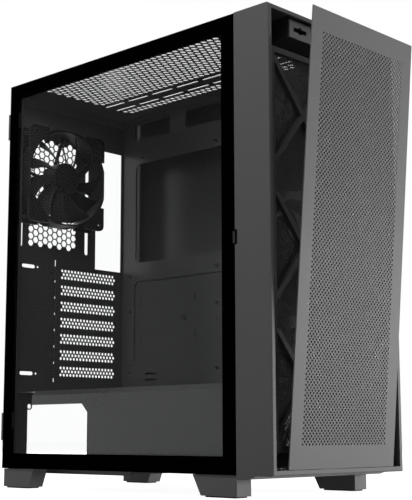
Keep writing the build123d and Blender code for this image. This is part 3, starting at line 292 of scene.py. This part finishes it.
def guard_skirt():
    """A bar with softened edges, as wide as the guard's cloth and as deep as its frame."""
    low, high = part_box("guard_mesh")
    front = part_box("guard_frame")[0].y
    bm = bmesh.new()
    bmesh.ops.create_cube(bm, size=1.0)
    bmesh.ops.scale(bm, vec=(high.x - low.x, low.y - front, SKIRT_HEIGHT), verts=bm.verts)
    bmesh.ops.bevel(bm, geom=bm.edges[:], offset=SKIRT_EDGE, affect="EDGES", segments=2, profile=0.5,
                    material=-1)
    middle = Vector(((low.x + high.x) / 2, (front + low.y) / 2, low.z - SKIRT_HEIGHT / 2))
    bmesh.ops.translate(bm, vec=middle, verts=bm.verts)
    return new_piece("guard_skirt", bm)


skirt = guard_skirt()
# Painted shade: this black strip stands in for the shade in the gap under the guard.
skirt.data.materials.append(guard_black)
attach(skirt, "case")


# Glass door: one pane of tempered glass with a black border printed round its edge. It hangs on two hinges
# at the rear, and a black pull tab is clipped over its front edge, where its lip shows as a paler strip.
BORDER = 0.0175
BORDER_TONE = 0.001
TAB_LIP = 0.0024
TAB_LIP_TONE = 0.1
TAB_ROUND = 0.0009
GLASS_TINT = (0.985, 0.99, 0.988, 1)
GLASS_SHINE = 1.08
pane_low, pane_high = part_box("glass_door")
tab_low, tab_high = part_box("door_pull_tab")


def printed_glass():
    """Clear glass inside the border, black print with the tab's lip on it outside."""
    material, place = start_finish("printed_glass")
    along = place.add("SeparateXYZ", {}, {0: place}, "Y")
    up = place.add("SeparateXYZ", {}, {0: place}, "Z")
    inside_y = (along > pane_low.y + BORDER) * (along < pane_high.y - BORDER)
    window = inside_y * (up > pane_low.z + BORDER) * (up < pane_high.z - BORDER)
    speck = place.add("TexNoise", {}, {"Vector": place, "Scale": 400.0, "Detail": 2.0})
    lip = (along < pane_low.y + TAB_LIP) * (up > tab_low.z + TAB_ROUND) * (up < tab_high.z - TAB_ROUND)
    stops = [(0.0, grey(BORDER_TONE)), (1.0, grey(TAB_LIP_TONE))]
    print_tone = place.add("ValToRGB", {"stops": stops}, {"Fac": lip})
    printed = place.add("BsdfPrincipled", {}, {
        "Base Color": print_tone,
        "Roughness": speck * 0.06 + 0.12,
        "Specular IOR Level": 0.0,
    })
    clear = place.add("BsdfTransparent", {}, {"Color": GLASS_TINT})
    mirror = place.add("BsdfGlossy", {}, {"Roughness": 0.02})
    gloss = place.add("Fresnel", {}, {"IOR": GLASS_SHINE})
    pane = place.add("MixShader", {}, {0: gloss, 1: clear, 2: mirror})
    both = place.add("MixShader", {}, {0: window, 1: printed, 2: pane})
    place.add("OutputMaterial", {}, {"Surface": both})
    return material


paint(printed_glass(), "glass_door")
tab_black = grained("tab_moulding", dark=0.003, pale=0.005, rough=0.6, grain=900.0,
                    height=0.00003, sheen=0.03)
paint(tab_black, "door_pull_tab")


# Dust cloths: fine black nylon weave, welded tight into the frames of the top and power supply filters, and
# a coarser net of the same kind on the back of the guard. The net's knots are painted pale, at a pitch that
# matches the front panel's holes: painted spots of light that stand in for light falling through those
# holes.
FILTER_PITCH = 0.0008
GUARD_PITCH = 0.0028
FLECK_SHARE = 0.4
FLECK_DARK = 0.14
FLECK_PALE = 0.26
KNOT_LIGHT_SHARE = 0.5
CLOTH_COLUMNS = 12
CLOTH_ROWS = 24


def woven_nylon(name, pitch, thread, tone, knot_light):
    """Slanting threads that cover a share of their pitch, knots where they cross, and open meshes; a knot
    tone paler than the threads is painted light.
    """
    material, place = start_finish(name)
    across, back, up = (place.add("SeparateXYZ", {}, {0: place}, axis) for axis in "XYZ")
    along = back + up
    warp = place.math("FRACT", (across + along) * (1 / pitch)) < thread
    weft = place.math("FRACT", (across - along) * (1 / pitch)) < thread
    fleck = place.add("TexNoise", {}, {"Vector": place, "Scale": 500.0, "Detail": 2.0})
    # The knots take their own tone: where it is paler than the threads, it is painted light.
    stops = [(FLECK_DARK, grey(tone * 0.9)), (FLECK_PALE, grey(tone * 1.1)),
             (FLECK_DARK + KNOT_LIGHT_SHARE, grey(knot_light * 0.9)), (FLECK_PALE + KNOT_LIGHT_SHARE, grey(knot_light * 1.1))]
    color = place.add("ValToRGB", {"stops": stops}, {"Fac": fleck * FLECK_SHARE + warp * weft * KNOT_LIGHT_SHARE})
    shader = place.add("BsdfPrincipled", {}, {
        "Base Color": color,
        "Roughness": fleck * 0.2 + 0.5,
        "Specular IOR Level": 0.3,
        "Alpha": place.math("MAXIMUM", warp, weft),
    })
    place.add("OutputMaterial", {}, {"Surface": shader})
    return material


def stretched_cloth(node, body, material):
    """One flat sheet of cloth in the middle of its CAD solid."""
    low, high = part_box(node)
    size = high - low
    bm = bmesh.new()
    bmesh.ops.create_grid(bm, x_segments=CLOTH_COLUMNS, y_segments=CLOTH_ROWS, size=0.5)
    upright = size.y < size.z
    length = size.z if upright else size.y
    bmesh.ops.scale(bm, vec=(size.x, length, 1), verts=bm.verts)
    if upright:
        stand = Matrix.Rotation(QUARTER_TURN, 3, "X")
        bmesh.ops.rotate(bm, cent=(0, 0, 0), matrix=stand, verts=bm.verts)
    bmesh.ops.translate(bm, vec=(low + high) / 2, verts=bm.verts)
    piece = new_piece(node + "_cloth", bm)
    piece.data.materials.append(material)
    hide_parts(node)
    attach(piece, body)


filter_nylon = woven_nylon("filter_nylon", FILTER_PITCH, thread=0.175, tone=0.045, knot_light=0.045)
# Painted light: the guard net's pale knots stand in for spots of light falling through the front panel's
# holes.
guard_nylon = woven_nylon("guard_nylon", GUARD_PITCH, thread=0.42, tone=0.045, knot_light=0.24)
stretched_cloth("top_filter_mesh", "top_filter", filter_nylon)
stretched_cloth("psu_filter_mesh", "supply_filter", filter_nylon)
stretched_cloth("guard_mesh", "case", guard_nylon)


# Buttons, connectors and their board: polished black caps that press straight down, sockets of folded tin
# plate, and one dark circuit board fixed under the bezel's top, which carries the switches and sockets.
gloss_black = grained("gloss_black", dark=0.02, pale=0.028, rough=0.16, grain=400.0,
                      height=0.00002, sheen=0.5)
paint(gloss_black, "power_button", "reset_button")
connector_tin = grained("connector_tin", dark=0.5, pale=0.62, rough=0.3, grain=600.0,
                        height=0.00003, sheen=0.6)
paint(connector_tin, "usb_a_ports", "usb_c_port")
circuit_board = grained("circuit_board", dark=0.012, pale=0.02, rough=0.4, grain=500.0,
                        height=0.00003, sheen=0.5)
paint(circuit_board, "io_board")


# Foot pads: four pads of matt black rubber, pressed from sheet and glued into the undersides of the feet.
# They keep the case from sliding and are the only pieces that touch the floor.
pad_rubber = grained("pad_rubber", dark=0.02, pale=0.03, rough=0.8, grain=900.0, height=0.0001, sheen=0.3)
paint(pad_rubber, "foot_pads")


# Studio: white floor and surroundings, all plain. The key lamp stands high at the front right, a small one
# lights the panel from low on the right, two weak lamps on the left lift the bezel's side and the inside,
# and a wide one behind lights the rear.
FLOOR_REACH = 6.0
FLOOR_PAPER = (0.9, 0.9, 0.9, 1)
FLOOR_BOUNCE = (0.35, 0.35, 0.35, 1)
WHITE = (1, 1, 1, 1)


def studio_floor(glow_level):
    """White paper that takes shadows, to the camera and in gloss, and mid grey to all other light."""
    bm = bmesh.new()
    bmesh.ops.create_grid(bm, x_segments=1, y_segments=1, size=FLOOR_REACH)
    floor = new_piece("floor", bm)
    material, place = start_finish("floor_paper")
    seen = place.add("LightPath", {}, {}, "Is Camera Ray")
    mirrored = place.add("LightPath", {}, {}, "Is Glossy Ray")
    paper = place.add("BsdfDiffuse", {}, {"Color": FLOOR_PAPER})
    glow = place.add("Emission", {}, {"Color": WHITE, "Strength": glow_level})
    lit = place.add("AddShader", {}, {0: paper, 1: glow})
    plain = place.add("BsdfDiffuse", {}, {"Color": FLOOR_BOUNCE})
    shown = place.math("MAXIMUM", seen, mirrored)
    shader = place.add("MixShader", {}, {0: shown, 1: plain, 2: lit})
    place.add("OutputMaterial", {}, {"Surface": shader})
    floor.data.materials.append(material)


def studio_world(level):
    """White where it is seen, directly, in gloss or through glass, and only a faint fill elsewhere."""
    world = bpy.data.worlds.new("studio")
    bpy.context.scene.world = world
    world.use_nodes = True
    tree = world.node_tree
    tree.nodes.clear()
    path = tree.nodes.new("ShaderNodeLightPath")
    start = Wire(tree, path.outputs["Is Camera Ray"])
    glossy = Wire(tree, path.outputs["Is Glossy Ray"])
    through = Wire(tree, path.outputs["Is Transmission Ray"])
    shown = start.math("MAXIMUM", start.math("MAXIMUM", start, glossy), through)
    strength = shown * (1.0 - level) + level
    background = start.add("Background", {}, {"Color": WHITE, "Strength": strength})
    start.add("OutputWorld", {}, {"Surface": background})


def soft_lamp(name, place, aim, side, power):
    """A flat square lamp with a diffuser, set on a stand and turned to a point."""
    lamp = bpy.data.lights.new(name, "AREA")
    lamp.shape = "SQUARE"
    lamp.size = side
    lamp.energy = power
    holder = bpy.data.objects.new(name, lamp)
    holder.location = place
    holder.rotation_euler = (Vector(place) - Vector(aim)).to_track_quat("Z", "Y").to_euler()
    bpy.context.collection.objects.link(holder)


studio_floor(glow_level=0.93)
studio_world(level=0.04)
soft_lamp("key", place=(3.58, -3.97, 2.97), aim=(0, 0, 0.25), side=0.5, power=28)
soft_lamp("low_right", place=(1.04, -1.137, 0.12), aim=(0, -0.2, 0.2), side=0.2, power=11.6)
soft_lamp("left_rear", place=(-1.57, 1.32, 1.68), aim=(0, 0, 0.25), side=1.2, power=0.5)
soft_lamp("right_rear", place=(1.3, 2.2, 1.1), aim=(0, 0.23, 0.25), side=1.5, power=32)
soft_lamp("left_high", place=(-0.75, -0.29, 1.05), aim=(-0.1, -0.17, 0.3), side=0.5, power=3.7)


# Camera: a long lens, low in front of the left corner and looking slightly up. Its place and its angles
# were fitted to the photo's edges.
EYE_LEFT = 0.9504
EYE_AHEAD = 0.7125
EYE_HEIGHT = 0.0619
SENSOR_MM = 36.0
LENS_MM = 83.41
eye = Vector((-EYE_LEFT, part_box("front_bezel")[0].y - EYE_AHEAD, EYE_HEIGHT))
yaw, pitch, roll = math.radians(46.565), math.radians(9.008), math.radians(-0.15)
ahead = Vector((math.sin(yaw) * math.cos(pitch), math.cos(yaw) * math.cos(pitch), math.sin(pitch)))
lens = bpy.data.cameras.new("camera")
lens.sensor_width = SENSOR_MM
lens.lens = LENS_MM
lens.clip_start = 0.01
camera = bpy.data.objects.new("camera", lens)
camera.matrix_world = (Matrix.Translation(eye) @ ahead.to_track_quat("-Z", "Y").to_matrix().to_4x4()
                       @ Matrix.Rotation(roll, 4, "Z"))
bpy.context.collection.objects.link(camera)
bpy.context.scene.camera = camera
bpy.context.scene.view_settings.view_transform = "Standard"
